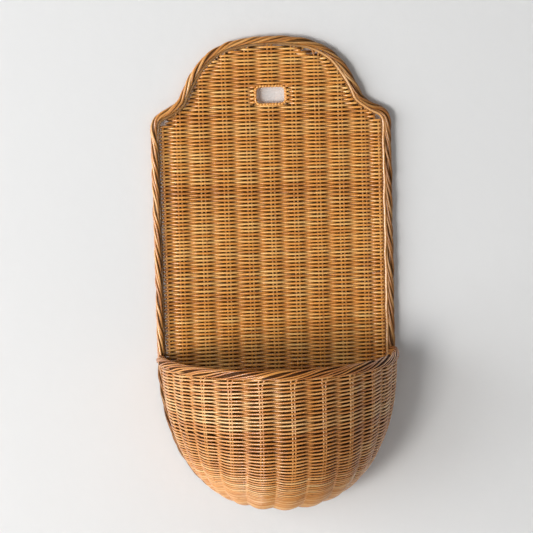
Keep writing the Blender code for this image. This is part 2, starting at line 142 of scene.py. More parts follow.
def edge_of_back(inset):
    """Closed outline of the back, across and up: crown, dip and shoulder as Bezier curves,
    a straight side, then a superellipse below, moved inwards by inset along its normal."""
    half = BACK_WIDTH / 2
    foot = np.array([CROWN_FOOT_SHARE * half, SLOT_DROP - CROWN_FALL])
    shoulder = np.array([SHOULDER_SHARE * half, foot[1] - DIP_FALL])
    side = np.array([half, shoulder[1] - SHOULDER_FALL])
    top = np.array([0.0, SLOT_DROP])
    leaving, arriving = CROWN_HANDLES
    first = top + [leaving[0] * foot[0], 0]
    second = top + [arriving[0] * foot[0], -arriving[1] * CROWN_FALL]
    leave = (foot - second) / np.linalg.norm(foot - second)
    slope = np.array([math.cos(SHOULDER_SLOPE), -math.sin(SHOULDER_SLOPE)])
    dip = shoulder[0] - foot[0]
    crown = bezier(top, first, second, foot, 60)
    first = foot + DIP_HANDLES[0] * dip * leave
    second = shoulder - DIP_HANDLES[1] * dip * slope
    hollow = bezier(foot, first, second, shoulder, 14)
    first = shoulder + SHOULDER_HANDLES[0] * (half - shoulder[0]) * slope
    second = side + [0, SHOULDER_HANDLES[1] * SHOULDER_FALL]
    corner = bezier(shoulder, first, second, side, 24)
    straight = np.linspace(0, 1, 60, endpoint=False)[:, None]
    sides = side + straight * [0, LOWEST + BOTTOM_RISE - side[1]]
    angle = np.linspace(0, np.pi / 2, 90)
    power = 2 / BOTTOM_FULLNESS
    across = half * np.abs(np.cos(angle)) ** power
    below = np.stack([across, LOWEST + BOTTOM_RISE * (1 - np.sin(angle) ** power)], axis=1)
    below[-1, 0] = 0
    right = np.vstack([crown, hollow, corner, sides, below])
    loop = np.vstack([right, right[-2:0:-1] * [-1, 1]])
    along = headings(loop)
    return loop + inset * np.stack([along[:, 1], -along[:, 0]], axis=1)


def evenly(loop, count):
    """Closed outline with its corners spread evenly along it, and its whole length."""
    closed = np.vstack([loop, loop[:1]])
    steps = np.linalg.norm(np.diff(closed, axis=0), axis=1)
    along = np.concatenate([[0], np.cumsum(steps)])
    wanted = along[-1] * np.arange(count) / count
    points = np.stack([np.interp(wanted, along, closed[:, axis]) for axis in (0, 1)], axis=1)
    return points, wanted, along[-1]


def half_width(inset, up):
    """Half width of the inset outline at a height, read off its right side."""
    loop = edge_of_back(inset)
    right = loop[: len(loop) // 2 + 1]
    order = np.argsort(right[:, 1])
    return np.interp(up, right[order, 1], right[order, 0], left=0, right=0)


def bowl_half(up):
    """Half width of the pocket at a height over its foot: the superellipse of the bottom."""
    below = ramp(up, BOTTOM_RISE, BOWL_FOOT - BOTTOM_RISE)
    return BOWL_HALF * np.maximum(1 - below**BOTTOM_FULLNESS, 0) ** (1 / BOTTOM_FULLNESS)


def bowl_deep(up):
    """Depth of the pocket at a height: a quarter ellipse, then upright."""
    below = ramp(up, BELLY_RISE, BOWL_FOOT - BELLY_RISE)
    return BOWL_DEPTH * np.sqrt(np.maximum(1 - below * below, 0))


def bowl_up(across, out):
    """Height of the pocket's skin over a place on the plan, where
    (across / half width)^2 + (out / depth)^2 is one, found by halving."""
    low = np.full(np.shape(across), BOWL_FOOT)
    high = np.full(np.shape(across), BOTTOM_RISE)
    for _ in range(44):
        middle = (low + high) / 2
        half = np.maximum(bowl_half(middle), 1e-9)
        deep = np.maximum(bowl_deep(middle), 1e-9)
        outside = (across / half) ** 2 + (out / deep) ** 2 > 1
        low = np.where(outside, middle, low)
        high = np.where(outside, high, middle)
    return high


def belly(rise):
    """Angle up the belly, height over the foot and half width of the pocket, at a rise."""
    lean = np.pi / 2 * ramp(rise, 0, BELLY_SHARE)
    above = np.clip((rise - BELLY_SHARE) / (1 - BELLY_SHARE), 0, None)
    wall = BELLY_RISE + (POCKET_WALL_TOP - BELLY_RISE) * above
    up = BOWL_FOOT + (BELLY_RISE - BOWL_FOOT) * (1 - np.cos(lean))
    half = (bowl_half(up) ** 4 + (SEAM_HALF * np.cos(lean)) ** 4) ** 0.25
    on_wall = rise > BELLY_SHARE
    half = np.where(on_wall, bowl_half(np.minimum(wall, BOTTOM_RISE)), half)
    return lean, np.where(on_wall, wall, up), half


def bowl(turn, rise):
    """Point of the pocket's middle skin: turn runs -1 to 1 from side to side as the angle of a
    half ellipse, and rise runs 0 to 1 from the seam over the belly and up the wall. Beside the
    seam the skin is tucked in, by an amount that fades as exp(-(out / 14 mm)^2)."""
    turn, rise = np.broadcast_arrays(np.asarray(turn, float), np.asarray(rise, float))
    angle = np.pi / 2 * turn
    lean, up, half = belly(rise)
    front = BOWL_DEPTH * np.sin(lean)
    fan = bell(front, SEAM_FADE)
    across = half * ((1 - fan) * np.sin(angle) + fan * turn)
    out = front * ((1 - fan) * np.cos(angle) + fan * (1 - turn * turn))
    on_wall = rise > BELLY_SHARE
    out = np.where(on_wall, BOWL_DEPTH * np.cos(angle), out)
    height = np.where(on_wall, up, bowl_up(across, out))
    across = np.where(on_wall, half * np.sin(angle), across)
    aside = np.stack([across, np.minimum(height - BOTTOM_RISE, 0) - 1e-6], axis=-1)
    aside = unit(aside) * (SEAM_TUCK * bell(out, SEAM_TUCK_FADE))[..., None]
    across = across - aside[..., 0]
    height = height - aside[..., 1]
    return np.stack([across, -SEAM_OUT - out, LOWEST + height], axis=-1)


def bowl_frame(turn, rise):
    """Point, outward normal and size of a step of turn and of rise on the pocket's skin."""
    step = 1e-4
    low, high = np.clip(rise - step, 0, None), rise + step
    east = bowl(turn + step, rise) - bowl(turn - step, rise)
    north = bowl(turn, high) - bowl(turn, low)
    outward = unit(np.cross(east, north))
    per_turn = np.linalg.norm(east, axis=-1) / (2 * step)
    per_rise = np.linalg.norm(north, axis=-1) / (high - low)
    return bowl(turn, rise), outward, per_turn, per_rise


# Rods and strands


def corner_angles(sides):
    """Angles of a section's corners, from the one turned away from its facing direction."""
    return np.pi + 2 * np.pi * np.arange(sides) / sides


def skin(path, facing, thick, wide, sides, closed=False):
    """Rings round a path: corner = point + thick cos(a) out + wide sin(a) across, where out is
    the facing direction squared up to the path, and the seam lies on the side away from it."""
    ahead = headings(path) if closed else unit(np.gradient(path, axis=0))
    facing = np.broadcast_to(facing, path.shape)
    out = unit(facing - np.sum(facing * ahead, axis=1, keepdims=True) * ahead)
    across = np.cross(ahead, out)
    angle = corner_angles(sides)
    thick = np.broadcast_to(thick, len(path))[:, None, None]
    wide = np.broadcast_to(wide, len(path))[:, None, None]
    ring = thick * np.cos(angle)[:, None] * out[:, None]
    ring = ring + wide * np.sin(angle)[:, None] * across[:, None]
    return path[:, None] + ring


def strand_faces(rings, sides, closed, first):
    """Corner numbers of the faces between a strand's rings. A closed strand's last ring joins
    its first."""
    last = rings if closed else rings - 1
    ring = np.arange(last)[:, None]
    side = np.arange(sides)[None, :]
    after = (side + 1) % sides
    above = (ring + 1) % rings
    low, high = ring * sides, above * sides
    faces = np.stack([low + side, low + after, high + after, high + side], axis=-1)
    return first + faces.reshape(-1, 4)


def weave_shade(depth, sides, groove=0.3, sharp=1.4):
    """Painted shade on each corner of a skin, 0 to 1, from how far it faces into the weave: -sharp
    depth cos(a), where depth is 1 for a strand in front and -1 behind, plus groove sin(a)^4 where
    neighbours touch."""
    angle = corner_angles(sides)
    facing = np.clip(-sharp * np.atleast_1d(depth)[:, None] * np.cos(angle), 0, 1)
    return np.clip(facing + groove * np.sin(angle) ** 4, 0, 1)


def make_piece(name, strands, sides, material, stands_for):
    """One piece from many strands. Each strand is (rings, closed, tone, shaded): its skin,
    whether it joins up with itself, a number from 0 to 1 that sets its shade of rattan, and the
    painted shade on its corners, 0 to 1. An open strand has a flat face at each end. The UV
    map holds the way round and the length."""
    corners, loops, starts, sizes, around, shade, painted_shades = [], [], [], [], [], [], []
    count = 0
    at = 0
    for rings, closed, tone, shaded in strands:
        number = len(rings)
        corners.append(rings.reshape(-1, 3))
        quads = strand_faces(number, sides, closed, count)
        steps = np.linalg.norm(np.diff(rings.mean(axis=1), axis=0), axis=1)
        along = np.concatenate([[0], np.cumsum(steps)])
        if closed:
            along = np.append(along, along[-1] + steps[-1])
        last = number if closed else number - 1
        turn = np.arange(sides + 1) / sides
        low, high = along[:last, None], along[1 : last + 1, None]
        left, right = turn[None, :-1], turn[None, 1:]
        u = np.broadcast_to(np.stack([left, right, right, left], axis=-1), (last, sides, 4))
        v = np.broadcast_to(np.stack([low, low, high, high], axis=-1), (last, sides, 4))
        loops.append(quads.ravel())
        around.append(np.stack([u, v], axis=-1).reshape(-1, 2))
        starts.append(at + 4 * np.arange(len(quads)))
        sizes.append(np.full(len(quads), 4))
        at += 4 * len(quads)
        if not closed:
            near = count + np.arange(sides)[::-1]
            far = count + (number - 1) * sides + np.arange(sides)
            for cap, height in ((near, 0.0), (far, along[-1])):
                loops.append(cap)
                around.append(np.stack([np.full(sides, 0.5), np.full(sides, height)], axis=-1))
                starts.append([at])
                sizes.append([sides])
                at += sides
        shade.append(np.full(number * sides, tone))
        painted_shades.append(np.broadcast_to(shaded, (number, sides)).ravel())
        count += number * sides
    mesh = bpy.data.meshes.new(name)
    corners = np.concatenate(corners)
    loops = np.concatenate(loops)
    starts = np.concatenate(starts)
    sizes = np.concatenate(sizes)
    mesh.vertices.add(len(corners))
    mesh.vertices.foreach_set("co", corners.astype(np.float32).ravel())
    mesh.loops.add(len(loops))
    mesh.loops.foreach_set("vertex_index", loops.astype(np.int32))
    mesh.polygons.add(len(starts))
    mesh.polygons.foreach_set("loop_start", starts.astype(np.int32))
    mesh.polygons.foreach_set("loop_total", sizes.astype(np.int32))
    mesh.update(calc_edges=True)
    mesh.polygons.foreach_set("use_smooth", sizes == 4)
    layer = mesh.uv_layers.new(name="along_strand")
    layer.data.foreach_set("uv", np.concatenate(around).astype(np.float32).ravel())
    for label, values in (("strand_tone", shade), ("strand_painted_shade", painted_shades)):
        layer = mesh.attributes.new(label, "FLOAT", "POINT")
        layer.data.foreach_set("value", np.concatenate(values).astype(np.float32))
    mesh.validate()
    piece = bpy.data.objects.new(name, mesh)
    bpy.context.scene.collection.objects.link(piece)
    mesh.materials.append(material)
    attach(piece, "root")
    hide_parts(*stands_for)
    return piece


def sway(phase):
    """Depth of a weaver between stakes, from 1 in front to -1 behind: c (1.2 - 0.2 c^2) with
    c = cos(pi phase), which stays flat over the stake pair and crosses steeply between."""
    c = np.cos(np.pi * phase)
    return c * (1.2 - 0.2 * c * c)


# The back


ROW_PITCH = 0.00256
WEAVER_RADIUS = 0.00125
CREST_GROWTH = 0.0004
BACK_SWAY = 0.00262
ROW_STEP = 0.0036
TURN_REACH = 0.0034
TURN_REACH_LEFT = 0.0042
HOLE_TOP = -0.0366
HOLE_LOW = -0.0490
HOLE_SIDE = 0.1448
STAKE_CLEAR = 0.007
TURN_STEPS = 4
TURN_GROWTH = 0.0002
SHARED_DRIFT = 0.0005

# Rows draw near the next one at their turns: over what distance, and how much on each side
DRAWN_FADE = 0.0034
DRAWN_LEFT = 0.7
DRAWN_RIGHT = 0.3

# Painted shade in the turns of the rows, and in the ends of those beyond a place on the left
TURN_SHADE = 0.45
LEFT_END_SHADE = 0.82
LEFT_END_FADE = 0.0062
LEFT_END_PLACE = -0.1

# Where the rows run: the topmost, the shortest, and those that end early below the crown
TOP_ROW_DROP = 0.0021
SHORTEST_ROW = 0.012
SHORT_ROWS = {4: 0.0398, 6: 0.0470}

# Rows laid looser round the shoulders, and drawn up to the frame at the top
LOOSE = 0.0011
LOOSE_PLACE = 0.032
LOOSE_WAVE = 0.019
LOOSE_FADE = 0.02
DRAWN_UP = 0.0009
DRAWN_UP_FADE = 0.006

# Stakes of the back: the pair that spreads at the top, and the rods at the edges
SPLAYED_PAIR = 2
SPLAY = 0.0035
SPLAY_LENGTH = 0.012
EDGE_STAKE_RADIUS = 0.0016
# Painted shade over each whole back stake, which also thins its coat
STAKE_SHADE = 0.28


def row_span(up):
    """Place of the turns at a row's ends: at the edge stake, or beside the shoulder's hole."""
    reach = float(half_width(PANEL_INSET, up)) - EDGE_STAKE_INSET
    if HOLE_LOW < up < HOLE_TOP:
        reach = min(reach, HOLE_SIDE - TURN_REACH)
    return reach


def row_phase(across, left, right):
    """Count of stakes passed along a row: whole at each stake pair and at the row's two turns."""
    numbers = np.arange(-BACK_PAIRS_EACH_SIDE, BACK_PAIRS_EACH_SIDE + 1)
    places = numbers * BACK_STAKE_SPACING
    inside = (places > left + STAKE_CLEAR) & (places < right - STAKE_CLEAR)
    places, numbers = places[inside], numbers[inside]
    if not len(places):
        return (across - left) / max(right - left, 1e-6)
    places = np.concatenate([[left], places, [right]])
    numbers = np.concatenate([[numbers[0] - 1], numbers, [numbers[-1] + 1]])
    return np.interp(across, places, numbers)


def pocket_shade(up):
    """Share of painted shade inside the pocket, as a smooth step: 0 at the rim, 1 some way below it."""
    share = ramp(up, LOWEST + RIM_TOP - 0.012, -0.05)
    return share * share * (3 - 2 * share)


def quarter_turn(edge, way, depth, up):
    """End of a row: it bends a quarter turn round the edge stake, where
    across = edge + reach sin(b) and depth falls as cos(b)."""
    bend = np.linspace(0, np.pi / 2, TURN_STEPS + 1)[1:]
    reach = TURN_REACH if way > 0 else TURN_REACH_LEFT
    across = edge + way * reach * np.sin(bend)
    depth = np.sign(depth) * np.cos(bend)
    return np.stack([across, depth, np.full(TURN_STEPS, up), bend / (np.pi / 2)], axis=1)


def back_row(number, up, left, right):
    """One weaver: it runs level, passes the stakes by turns in front and behind, swells a little
    over each of them, and ends in a quarter turn on either side, where it draws near the row
    that it joins times exp(-(distance from the end / 3.4 mm)^2): more on the left of the basket,
    where light shows between these loops, than on the right. All rows share a drift of 0.5 mm
    sin(across / 41 mm + 1.3 sin(up / 50 mm)) cos(up / 23 mm). It has painted shade on the faces
    turned into the weave, in its turns, most of all in the ends on the far left, and on its front
    inside the pocket."""
    chance = np.random.default_rng(900 + number).random(3)
    steps = max(int((right - left) / ROW_STEP), 4)
    across = np.linspace(left, right, steps + 1)
    side = 1 if number % 2 else -1
    depth = side * sway(row_phase(across, left, right))
    line = np.stack([across, depth, np.full(len(across), up), np.zeros(len(across))], axis=1)
    start = quarter_turn(left, -1, depth[0], up)[::-1]
    end = quarter_turn(right, 1, depth[-1], up)
    near = np.where(across < (left + right) / 2, -np.sign(depth[0]), np.sign(depth[-1]))
    near = np.concatenate([np.full(TURN_STEPS, near[0]), near, np.full(TURN_STEPS, near[-1])])
    across, depth, height, bend = np.vstack([start, line, end]).T
    apex = np.minimum(across - across[0], across[-1] - across)
    drawn = ROW_PITCH / 2 * np.where(across < 0, DRAWN_LEFT, DRAWN_RIGHT)
    height = height + drawn * near * bell(apex, DRAWN_FADE)
    height = height + wander(across, 0.0002, (0.11, 0.047, 0.21), 400 + number)
    swing = across / 0.041 + 1.3 * np.sin(up / 0.05)
    height = height + SHARED_DRIFT * np.sin(swing) * np.cos(up / 0.023)
    press = BACK_SWAY * (0.93 + 0.1 * chance[0])
    path = np.stack([across, -PANEL_OUT - depth * press, height], axis=1)
    size = 0.95 + 0.1 * chance[1]
    wide = size * (WEAVER_RADIUS + CREST_GROWTH * depth * depth + TURN_GROWTH * bend)
    rings = skin(path, FRONT, WEAVER_RADIUS * size, wide, THIN_SIDES)
    # Painted shade: faces turned into the weave, the turns, the far left ends, and the front inside the
    # pocket
    shaded = weave_shade(depth, THIN_SIDES)
    far_left = LEFT_END_SHADE * (across < LEFT_END_PLACE) * bell(apex, LEFT_END_FADE)
    shaded = np.maximum(shaded, np.maximum(TURN_SHADE * bend, far_left)[:, None])
    in_front = rings[:, :, 1] < -PANEL_OUT
    shaded = np.maximum(shaded, 0.95 * pocket_shade(rings[:, :, 2]) * in_front)
    return rings, False, chance[2], shaded


def back_rows():
    """All the weavers of the back from the bottom up, in halves where the slot parts them. Two rows
    near the top, counted from it, end early on the right and leave openings by a stake pair. The
    rows are laid looser round the shoulders: height = even height + 1.1 mm (1 + sin((height +
    32 mm) / 19 mm)), which fades over the top 20 mm. The topmost are drawn up to the frame by
    0.9 mm exp(-(distance from the top / 6 mm)^2)."""
    top = SLOT_DROP - FRAME_INSET - TOP_ROW_DROP
    count = int((top - LOWEST - PANEL_INSET - 0.001) / ROW_PITCH)
    gap = SLOT_WIDTH / 2 + BINDING_WIDTH / 2 + TURN_REACH - 0.0004
    strands = []
    for number in range(-2, count):
        up = top - (count - 1 - number) * ROW_PITCH
        drawn_up = DRAWN_UP * float(bell(top - up, DRAWN_UP_FADE))
        loose = LOOSE * (1 + math.sin((up + LOOSE_PLACE) / LOOSE_WAVE))
        up = up + loose * min((top - up) / LOOSE_FADE, 1) + drawn_up
        reach = row_span(up)
        if reach < SHORTEST_ROW:
            continue
        spans = [(-reach, reach)]
        if -SLOT_HEIGHT - BINDING_WIDTH / 2 < up < BINDING_WIDTH / 2:
            spans = [(-reach, -gap), (gap, reach)]
        if count - number in SHORT_ROWS:
            spans = [(-reach, SHORT_ROWS[count - number])]
        strands.extend(back_row(number, up, left, right) for left, right in spans)
    return strands


def upright_rod(across, low, high, radius, seed, splay=0.0):
    """A stake: an upright rod that wanders a little from side to side, and leans out over its top
    12 mm by the splay times (share of that length)^1.5."""
    bent = high - SPLAY_LENGTH
    up = np.linspace(low, bent, max(int((high - low) / 0.02), 2) + 1)
    up = np.concatenate([up, np.linspace(bent, high, 5)[1:]])
    across = across + wander(up, 0.0003, (0.17, 0.31), seed)
    across = across + splay * ramp(up, bent, SPLAY_LENGTH) ** 1.5
    path = np.stack([across, np.full(len(up), -PANEL_OUT), up], axis=1)
    rings = skin(path, FRONT, radius, radius, ROD_SIDES)
    # Painted shade over the whole stake, more inside the pocket
    shaded = np.maximum(0.9 * pocket_shade(rings[:, :, 2]), STAKE_SHADE)
    return rings, False, (seed * 0.37) % 1, shaded


def back_stakes():
    """Pairs of upright stakes, parted by the slot in the middle, and a single one at each edge."""
    loop = edge_of_back(PANEL_INSET - 0.003)
    strands = []
    for pair in range(-BACK_PAIRS_EACH_SIDE, BACK_PAIRS_EACH_SIDE + 1):
        for side in (-1, 1):
            across = pair * BACK_STAKE_SPACING + side * BACK_PAIR_SPACING / 2
            near = loop[np.abs(loop[:, 0] - across) < 0.004]
            spans = [(near[:, 1].min(), near[:, 1].max())]
            if not pair:
                spans = [(spans[0][0], -SLOT_HEIGHT - 0.002), (0.002, spans[0][1])]
            for low, high in spans:
                seed = 2000 + len(strands)
                splay = side * SPLAY if pair == SPLAYED_PAIR else 0.0
                strands.append(upright_rod(across, low, high, STAKE_RADIUS, seed, splay))
    steps = 60
    up = np.linspace(LOWEST + BOTTOM_RISE * 0.35, HOLE_LOW - 0.002, steps)
    for side in (-1, 1):
        across = side * (half_width(PANEL_INSET, up) - EDGE_STAKE_INSET)
        path = np.stack([across, np.full(steps, -PANEL_OUT), up], axis=1)
        rings = skin(path, FRONT, EDGE_STAKE_RADIUS, EDGE_STAKE_RADIUS, ROD_SIDES)
        # Painted shade on the edge stakes inside the pocket
        strands.append((rings, False, 0.4 + 0.2 * side, 0.7 * pocket_shade(rings[:, :, 2])))
    return strands


FRAME_POINTS = 420
FRAME_FORWARD = 0.0008
FRAME_TUCK = (-0.0010, 0.0016, 0)
# Painted shade where the rod is tucked under the border
FRAME_TUCK_SHADE = 0.8
CROWN_SET_BACK = (0, 0.0010, 0)
# Painted shade over the crown's left and top
CROWN_SHADE = 0.62
BORDER_POINTS = 620
BORDER_STRANDS = 5
BORDER_TURN = 0.094
BORDER_RADIUS = 0.0030
BORDER_STRAND_RADIUS = 0.00182
BORDER_WANDER = 0.62
CORE_RADIUS = 0.0022
# Painted shade of the border's core, seen in the gaps between strands
CORE_SHADE = 0.82
WINDINGS = 29
WINDING_HALF_WIDTH = 0.00135
WINDING_HALF_DEPTH = 0.0031


def round_frame():
    """The bent rod that follows the outline of the back: a closed ring that wanders a little. It is
    tucked under the border down its left side, and set back over the crown's left and top, and has
    painted shade there and in its grooves."""
    points, along, length = evenly(edge_of_back(FRAME_INSET), FRAME_POINTS)
    drift = wander(along, 0.0004, (length / 17, length / 29), 11)
    ahead = headings(points)
    aside = wander(along, 0.0006, (length / 23, length / 41), 12)
    place = points + aside[:, None] * ahead[:, ::-1] * [-1, 1]
    tucked = ramp(points[:, 0], -0.15, -0.004) * ramp(points[:, 1], -0.05, -0.03)
    crown = ramp(points[:, 0], 0.085, -0.05) * ramp(points[:, 1], -0.09, 0.03)
    path = np.stack([place[:, 0], -PANEL_OUT - FRAME_FORWARD + drift, place[:, 1]], axis=1)
    path = path + tucked[:, None] * FRAME_TUCK
    path = path + crown[:, None] * CROWN_SET_BACK
    rings = skin(path, FRONT, 0.0019, 0.0020, THICK_SIDES, True)
    frame_shade = np.maximum(FRAME_TUCK_SHADE * tucked, CROWN_SHADE * crown)
    shaded = np.maximum(weave_shade(np.zeros(FRAME_POINTS), THICK_SIDES, 0.5), frame_shade[:, None])
    return rings, True, 0.6, shaded


def border_strands():
    """The border: strands laid round each other like a loose rope along the outline.
    Strand = middle line + radius (cos(a) outward + sin(a) to the front), where a grows by a turn
    in every 94 mm and wanders. They have painted shade towards the right, beside the pocket,
    and where they turn to the core and touch. A core with painted shade fills the middle."""
    count = BORDER_POINTS
    points, along, length = evenly(edge_of_back(BORDER_INSET), count)
    ahead = headings(points)
    outward = np.stack([-ahead[:, 1], np.zeros(count), ahead[:, 0]], axis=1)
    middle = np.stack([points[:, 0], np.full(count, -BORDER_OUT), points[:, 1]], axis=1)
    # Painted shade towards the right, and below the rim beside the pocket
    to_right = 0.54 * ramp(middle[:, :1], -0.02, 0.1)
    darker = np.maximum(to_right, 0.62 * ramp(middle[:, 2:], LOWEST + RIM_TOP, -0.03))
    turns = round(length / BORDER_TURN)
    strands = []
    for index in range(BORDER_STRANDS):
        waves = (length / 9, length / 14, length / 23)
        angle = 2 * np.pi * (index / BORDER_STRANDS - turns * along / length)
        angle = angle + wander(along, BORDER_WANDER, waves, 70 + index)
        waves = (length / 12, length / 19, length / 31)
        radius = BORDER_RADIUS + wander(along, 0.0007, waves, 90 + index)
        out = outward * np.cos(angle)[:, None] + FRONT * np.sin(angle)[:, None]
        waves = (length / 5, length / 17)
        size = BORDER_STRAND_RADIUS + wander(along, 0.00016, waves, 120 + index)
        rings = skin(middle + radius[:, None] * out, out, size * 0.95, size, THICK_SIDES, True)
        shaded = 1 - (1 - weave_shade(np.ones(count), THICK_SIDES, 0.6)) * (1 - darker)
        strands.append((rings, True, (index * 0.41 + 0.25) % 1, shaded))
    core = skin(middle, outward, CORE_RADIUS, CORE_RADIUS, THICK_SIDES, True)
    strands.append((core, True, 0.05, CORE_SHADE))
    return strands


def slot_winding():
    """The slot's bound edge: one strand wound round a rounded ring, outside = ring middle +
    half width cos(a) outward + half depth sin(a) to the front, with a many turns round it."""
    inset = BINDING_WIDTH / 2
    half_across = SLOT_WIDTH / 2 + inset
    half_up = SLOT_HEIGHT / 2 + inset - 0.0006
    corner = SLOT_CORNER + inset
    quarter = np.linspace(0, np.pi / 2, 9)
    ring = []
    for turn, (side, up) in enumerate(((1, 1), (-1, 1), (-1, -1), (1, -1))):
        angle = quarter + turn * np.pi / 2
        middle = np.array([side * (half_across - corner), up * (half_up - corner)])
        ring.append(middle + corner * np.stack([np.cos(angle), np.sin(angle)], axis=1))
    count = WINDINGS * 12
    points, along, length = evenly(np.vstack(ring), count)
    ahead = headings(points)
    outward = np.stack([ahead[:, 1], np.zeros(count), -ahead[:, 0]], axis=1)
    height = points[:, 1] - SLOT_HEIGHT / 2 + 0.0008
    middle = np.stack([points[:, 0], np.full(count, -PANEL_OUT), height], axis=1)
    angle = 2 * np.pi * WINDINGS * along / length + wander(along, 0.9, (length / 3, length / 7), 31)
    out = outward * np.cos(angle)[:, None] + FRONT * np.sin(angle)[:, None]
    wide = (WINDING_HALF_WIDTH * np.cos(angle))[:, None]
    deep = (WINDING_HALF_DEPTH * np.sin(angle))[:, None]
    strand = skin(middle + wide * outward + deep * FRONT, out, 0.0008, 0.0019, THIN_SIDES, True)
    core = skin(middle, FRONT, 0.0034, 0.0016, THIN_SIDES, True)
    # Painted shade on the winding's inner side and grooves, some over all of it, and more on the core
    shaded = np.maximum(weave_shade(np.ones(count), THIN_SIDES, 0.3), 0.12)
    return [(strand, True, 0.45, shaded), (core, True, 0.6, 0.25)]


# The pocket


PAIR_PITCH = 0.00512
TWINE_SWAY = 0.0026
TWINE_RADIUS = 0.00122
LOBE = 0.0007
DROOP_LEFT = 0.12
DROOP_RIGHT = 0.09
BAY_STEPS = 12
PACKED_PITCH = 0.0045
# Painted shade added in the grooves towards the foot
FOOT_GROOVE_SHADE = 0.45
STAKE_SPREAD = 0.0026
STAKE_LEAN = 0.009

# Layers of the rim: strands in its length, bays that each runs, half depth and half height of
# its section, radius of a strand, shift of the first, and its painted shade
RIM_LAYERS = (
    (32, 3.2, RIM_THICKNESS / 2 - 0.0014, RIM_HEIGHT / 2 - 0.0014, 0.0012, 0.0, 0.0),
    (26, 3.6, RIM_THICKNESS / 2 - 0.0040, RIM_HEIGHT / 2 - 0.0042, 0.0015, 0.5, 0.93),
)
RIM_FIRST_ANGLE = -75
RIM_SWEEP = 295


def pocket_rises():
    """Rise of each twined row, at even steps of length up the front of the pocket."""
    rise = np.linspace(0, 1, 800)
    line = bowl(np.zeros(len(rise)), rise)
    along = np.concatenate([[0], np.cumsum(np.linalg.norm(np.diff(line, axis=0), axis=1))])
    count = int((along[-1] - 0.004) / PAIR_PITCH)
    wanted = 0.0025 + PAIR_PITCH * np.arange(count + 1)
    return np.interp(wanted, along, rise)


def droop(turn, rise):
    """How much a row climbs towards its ends, more on the left: |turn|^1.7 sin(pi rise^0.55)."""
    reach = np.where(turn < 0, DROOP_LEFT, DROOP_RIGHT)
    return reach * np.abs(turn) ** 1.7 * np.sin(np.pi * rise**0.55)


def stake_line(turn, rise):
    """Turn that a stake line has at a rise: the lines run almost straight down and crowd together
    only towards the sides. With reach = (full half width / half width)^0.9 and x = reach
    sin(angle), the sine becomes x / (1 + (x / x0)^4)^(1/4), where x0 keeps the sides in place."""
    _, _, half = belly(rise)
    reach = (BOWL_HALF / half) ** 0.9
    limit = reach / (np.maximum(reach**4 - 1, 1e-6)) ** 0.25
    sine = reach * np.sin(np.pi / 2 * turn)
    sine = sine / (1 + (sine / limit) ** 4) ** 0.25
    return 2 / np.pi * np.arcsin(np.clip(sine, -1, 1))


def lobe(rise):
    """How far the weave swells over a stake pair, most near the bottom: from 1 to 0.25 of LOBE,
    falling as a smooth step between rises 0.2 and 0.65."""
    share = ramp(rise, 0.2, 0.45)
    return LOBE * (1 - 0.75 * share * share * (3 - 2 * share))


def pocket_rows():
    """Twined rows: two strands that swap places in every bay. Depth = sway(phase) outward for one
    and towards the inside for the other, height = a quarter pitch times sin(pi phase) up and down. Near
    the foot, where rows crowd, a strand is 0.46 of their pitch in half width. It has painted shade on
    its faces turned into the weave, in its grooves more towards the foot, and on the inside below the
    rim."""
    rises = pocket_rises()[:, None]
    line = np.linspace(-1, 1, POCKET_BAYS * BAY_STEPS + 1)
    phase = (line + 1) / 2 * POCKET_BAYS
    ends = ramp(np.abs(line), 1, -0.05)
    levels = rises
    for _ in range(4):
        turns = stake_line(line[None, :], levels)
        levels = rises + droop(turns, rises)
    steps = np.gradient(levels, axis=0)
    strands = []
    for number, (turn, level, step) in enumerate(zip(turns, levels, steps)):
        level = level + wander(turn, 0.07, (0.9, 0.37, 0.21), 3000 + number) * step
        for side in (1, -1):
            chance = np.random.default_rng(5000 + 2 * number + side).random(2)
            swing = side * sway(phase) * (0.45 + 0.55 * ends)
            height = level + side * 0.25 * step * np.sin(np.pi * phase)
            point, outward, _, per_rise = bowl_frame(turn, np.clip(height, 0.0004, 1.0))
            swell = lobe(level) * np.cos(2 * np.pi * phase) * ends
            path = point + outward * (TWINE_SWAY * swing + swell)[:, None]
            pitch = step * per_rise
            size = TWINE_RADIUS * (0.96 + 0.08 * chance[0])
            crest = swing * swing
            wide = size * (np.clip(pitch / PAIR_PITCH, 0.5, 1.06) * (1 - crest) + 1.2 * crest)
            packed = ramp(pitch, PACKED_PITCH, -0.0008)
            wide = wide + packed * (0.46 * pitch - wide)
            rings = skin(path, outward, size, wide, THIN_SIDES)
            # Painted shade: faces turned into the weave, grooves more towards the foot, inside below
            # the rim
            groove = 0.35 + FOOT_GROOVE_SHADE * np.clip(1 - level / 0.45, 0, 1)
            shaded = weave_shade(swing, THIN_SIDES, groove[:, None], 2.1)
            facing = np.cos(corner_angles(THIN_SIDES))
            inner = np.clip(0.45 - 1.5 * facing, 0, 1) * pocket_shade(rings[:, :, 2])
            shaded = np.maximum(shaded, inner)
            strands.append((number, (rings, False, chance[1], shaded)))
    middle = len(rises) // 2
    lower = [strand for number, strand in strands if number < middle]
    upper = [strand for number, strand in strands if number >= middle]
    return lower, upper


